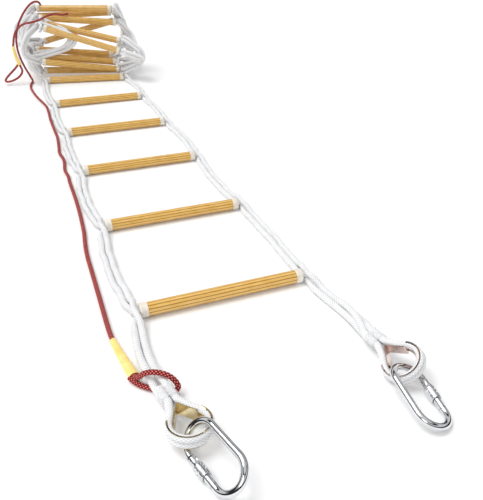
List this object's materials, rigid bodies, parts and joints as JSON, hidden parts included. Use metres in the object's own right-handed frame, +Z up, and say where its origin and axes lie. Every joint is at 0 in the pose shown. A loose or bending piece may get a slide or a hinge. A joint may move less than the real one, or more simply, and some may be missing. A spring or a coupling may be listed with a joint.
{
  "type": "escape rope ladder",
  "caption": "Escape rope ladder laid out on the floor, tube rungs between doubled rope rails, far part rolled up, two thimble eyes with locking carabiners and a red safety line.",
  "frame": {"origin": "on the floor, at the middle of the ladder's box without the red line", "axes": "+X along the rungs to the right, +Y along the ladder from the carabiners to the roll, +Z up"},
  "size_m": [0.5517, 2.3977, 0.295],
  "materials": {
    "amber_tube": "glossy amber ribbed tube",
    "cap_plastic": "cream moulded plastic",
    "white_rope": "white braided rope",
    "red_rope": "red braided rope",
    "yellow_sleeve": "yellow shrink sleeve",
    "clear_film": "clear shrink film",
    "zinc_strip": "yellow zinc-plated strip",
    "polished_steel": "polished steel bar",
    "knurled_steel": "knurled steel sleeve",
    "steel_small": "plain steel"
  },
  "bodies": {
    "roll": {"rung_6": "amber_tube", "rung_6_caps": "cap_plastic", "rung_6_core_rope": "white_rope", "rolled_rungs": "amber_tube", "rolled_caps": "cap_plastic", "rolled_core_ropes": "white_rope", "rolled_left_ropes": "white_rope", "rolled_right_ropes": "white_rope", "rolled_red_line": "red_rope", "far_line_sleeve": "yellow_sleeve"},
    "bay_5": {"rung_5": "amber_tube", "rung_5_caps": "cap_plastic", "rung_5_core_rope": "white_rope", "left_rail_5": "white_rope", "right_rail_5": "white_rope", "red_line_5": "red_rope"},
    "bay_4": {"rung_4": "amber_tube", "rung_4_caps": "cap_plastic", "rung_4_core_rope": "white_rope", "left_rail_4": "white_rope", "right_rail_4": "white_rope", "red_line_4": "red_rope"},
    "bay_3": {"rung_3": "amber_tube", "rung_3_caps": "cap_plastic", "rung_3_core_rope": "white_rope", "left_rail_3": "white_rope", "right_rail_3": "white_rope", "red_line_3": "red_rope"},
    "bay_2": {"rung_2": "amber_tube", "rung_2_caps": "cap_plastic", "rung_2_core_rope": "white_rope", "left_rail_2": "white_rope", "right_rail_2": "white_rope", "red_line_2": "red_rope"},
    "bay_1": {"rung_1": "amber_tube", "rung_1_caps": "cap_plastic", "rung_1_core_rope": "white_rope", "left_rail_1": "white_rope", "right_rail_1": "white_rope", "red_line_1": "red_rope"},
    "left_tail": {"left_tail_rope": "white_rope", "left_thimble": "zinc_strip", "left_clear_sleeve": "clear_film", "red_line_loop": "red_rope", "line_sleeve": "yellow_sleeve"},
    "right_tail": {"right_tail_rope": "white_rope", "right_thimble": "zinc_strip", "right_clear_sleeve": "clear_film"},
    "left_hook": {"left_carabiner": "polished_steel", "left_rivet": "steel_small"},
    "left_hook_gate": {"left_gate": "polished_steel", "left_spring": "steel_small"},
    "left_hook_lock": {"left_lock_sleeve": "knurled_steel"},
    "right_hook": {"right_carabiner": "polished_steel", "right_rivet": "steel_small"},
    "right_hook_gate": {"right_gate": "polished_steel", "right_spring": "steel_small"},
    "right_hook_lock": {"right_lock_sleeve": "knurled_steel"}
  },
  "joints": [
    {"name": "bay_5_lift", "type": "hinge", "parent": "roll", "child": "bay_5", "pos_m": [0, 0.875, 0.0135], "axis": [-0.9848, 0.1736, 0], "range_deg": [0, 45]},
    {"name": "bay_4_lift", "type": "hinge", "parent": "bay_5", "child": "bay_4", "pos_m": [0, 0.541, 0.0135], "axis": [-1, 0, 0], "range_deg": [0, 45]},
    {"name": "bay_3_lift", "type": "hinge", "parent": "bay_4", "child": "bay_3", "pos_m": [0, 0.207, 0.0135], "axis": [-1, 0, 0], "range_deg": [0, 45]},
    {"name": "bay_2_lift", "type": "hinge", "parent": "bay_3", "child": "bay_2", "pos_m": [0, -0.127, 0.0135], "axis": [-1, 0, 0], "range_deg": [0, 45]},
    {"name": "bay_1_lift", "type": "hinge", "parent": "bay_2", "child": "bay_1", "pos_m": [0, -0.461, 0.0135], "axis": [-1, 0, 0], "range_deg": [0, 45]},
    {"name": "left_tail_lift", "type": "hinge", "parent": "bay_1", "child": "left_tail", "pos_m": [-0.163, -0.795, 0.0135], "axis": [-1, 0, 0], "range_deg": [0, 45]},
    {"name": "right_tail_lift", "type": "hinge", "parent": "bay_1", "child": "right_tail", "pos_m": [0.163, -0.795, 0.0135], "axis": [-1, 0, 0], "range_deg": [0, 45]},
    {"name": "left_hook_swing", "type": "hinge", "parent": "left_tail", "child": "left_hook", "pos_m": [-0.14692, -1.10798, 0.02608], "axis": [-0.9848, -0.1736, 0], "range_deg": [0, 30]},
    {"name": "left_gate_open", "type": "hinge", "parent": "left_hook", "child": "left_hook_gate", "pos_m": [-0.16044, -1.12299, 0.00804], "axis": [-0.7041, -0.1887, 0.6845], "range_deg": [0, 22], "stiffness_Nm_per_rad": 0.15, "springref_deg": -17.19},
    {"name": "left_lock_slide", "type": "slide", "parent": "left_hook_gate", "child": "left_hook_lock", "axis": [0.2588, -0.9659, 0], "range_m": [0, 0.0165]},
    {"name": "right_hook_swing", "type": "hinge", "parent": "right_tail", "child": "right_hook", "pos_m": [0.16893, -1.10665, 0.02219], "axis": [-0.778, 0.3455, -0.5247], "range_deg": [0, 30]},
    {"name": "right_gate_open", "type": "hinge", "parent": "right_hook", "child": "right_hook_gate", "pos_m": [0.19171, -1.11818, 0.01315], "axis": [-0.2932, 0.16, -0.9426], "range_deg": [0, 22], "stiffness_Nm_per_rad": 0.15, "springref_deg": -17.19},
    {"name": "right_lock_slide", "type": "slide", "parent": "right_hook_gate", "child": "right_hook_lock", "axis": [-0.0736, -0.9867, -0.1446], "range_m": [0, 0.0165]}
  ]
}
